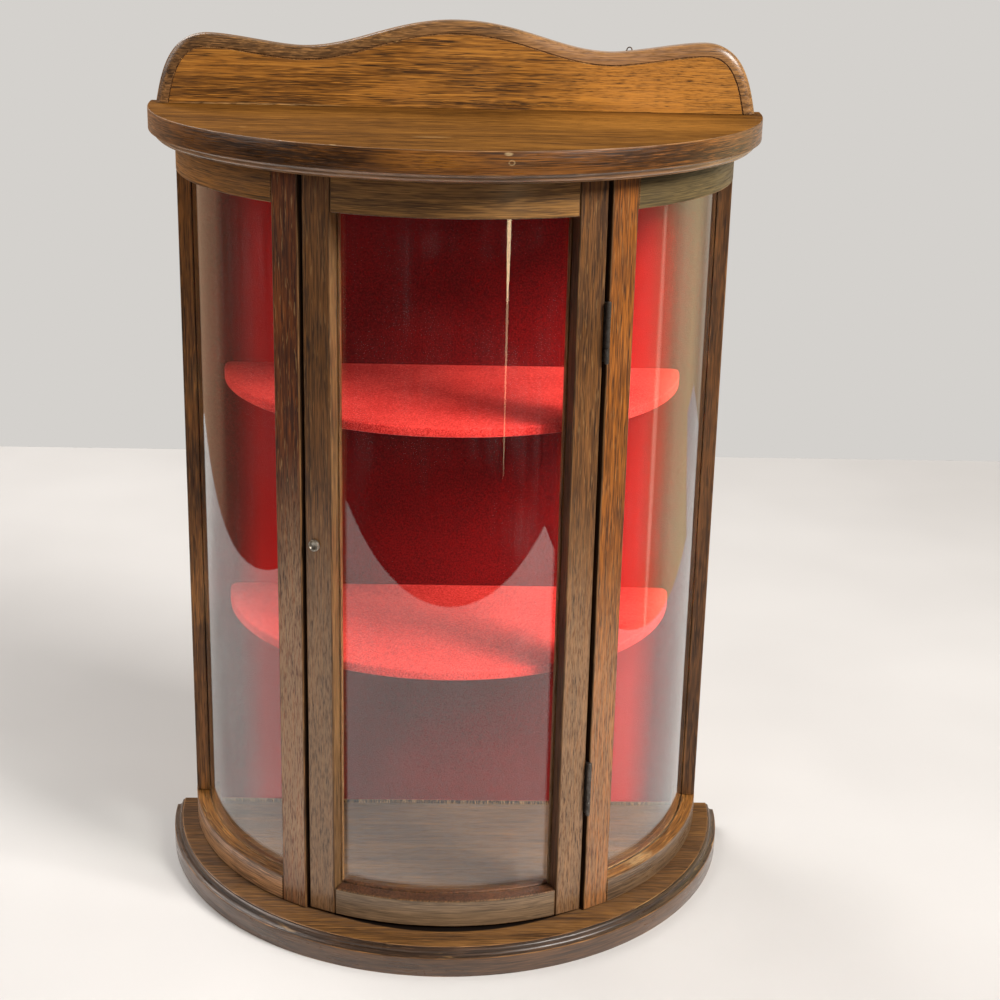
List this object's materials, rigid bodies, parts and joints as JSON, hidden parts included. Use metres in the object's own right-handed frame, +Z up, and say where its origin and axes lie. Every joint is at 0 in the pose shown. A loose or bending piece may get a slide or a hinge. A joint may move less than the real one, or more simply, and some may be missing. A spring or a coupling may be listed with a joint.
{
  "type": "wall curio cabinet",
  "caption": "Half-round wall curio cabinet in stained oak with bent side glass, a curved glazed door on butt hinges, red felt lining and half-round felt shelves under a scalloped crest.",
  "frame": {"origin": "under the middle of the cabinet's box, on the surface it stands on", "axes": "+Z up, +Y towards the wall, +X to the right as seen from the front, where the door is hinged"},
  "size_m": [0.416, 0.212, 0.6089],
  "materials": {
    "stained_oak": "satin",
    "door_oak": "satin",
    "back_plywood": "raw",
    "red_felt": "felt",
    "clear_glass": "polished",
    "dark_steel": "dull",
    "screw_steel": "satin",
    "catch_plastic": "matte"
  },
  "bodies": {
    "cabinet": {"base_board": "stained_oak", "top_board": "stained_oak", "crest_rail": "stained_oak", "left_bottom_rail": "stained_oak", "left_top_rail": "stained_oak", "left_front_post": "stained_oak", "left_rear_post": "stained_oak", "right_bottom_rail": "stained_oak", "right_top_rail": "stained_oak", "right_front_post": "stained_oak", "right_rear_post": "stained_oak", "back_panel": "back_plywood", "upper_shelf_board": "back_plywood", "lower_shelf_board": "back_plywood", "back_lining": "red_felt", "upper_shelf_felt": "red_felt", "lower_shelf_felt": "red_felt", "left_side_glass": "clear_glass", "right_side_glass": "clear_glass", "upper_hinge_post_leaf": "dark_steel", "upper_hinge_pin": "dark_steel", "lower_hinge_post_leaf": "dark_steel", "lower_hinge_pin": "dark_steel", "upper_shelf_screw_left": "screw_steel", "upper_shelf_screw_middle": "screw_steel", "upper_shelf_screw_right": "screw_steel", "lower_shelf_screw_left": "screw_steel", "lower_shelf_screw_middle": "screw_steel", "lower_shelf_screw_right": "screw_steel", "upper_hinge_post_screw_lower": "screw_steel", "upper_hinge_post_screw_upper": "screw_steel", "lower_hinge_post_screw_lower": "screw_steel", "lower_hinge_post_screw_upper": "screw_steel", "left_crest_screw": "screw_steel", "right_crest_screw": "screw_steel", "left_hanger_screw": "screw_steel", "right_hanger_screw": "screw_steel", "catch_screw_left": "screw_steel", "catch_screw_right": "screw_steel", "hanging_wire": "screw_steel", "door_catch": "catch_plastic"},
    "door": {"door_left_stile": "door_oak", "door_right_stile": "door_oak", "door_top_rail": "door_oak", "door_bottom_rail": "door_oak", "door_left_glass_bead": "door_oak", "door_right_glass_bead": "door_oak", "door_top_glass_bead": "door_oak", "door_bottom_glass_bead": "door_oak", "door_glass": "clear_glass", "door_pull_stud": "screw_steel", "catch_strike_plate": "screw_steel", "catch_strike_screw": "screw_steel", "upper_hinge_door_leaf": "dark_steel", "lower_hinge_door_leaf": "dark_steel", "upper_hinge_door_screw_lower": "screw_steel", "upper_hinge_door_screw_upper": "screw_steel", "lower_hinge_door_screw_lower": "screw_steel", "lower_hinge_door_screw_upper": "screw_steel"}
  },
  "joints": [
    {"name": "door_hinge", "type": "hinge", "parent": "cabinet", "child": "door", "pos_m": [0.0962, -0.05508, 0.2748], "axis": [0, 0, 1], "range_deg": [0, 160]}
  ]
}
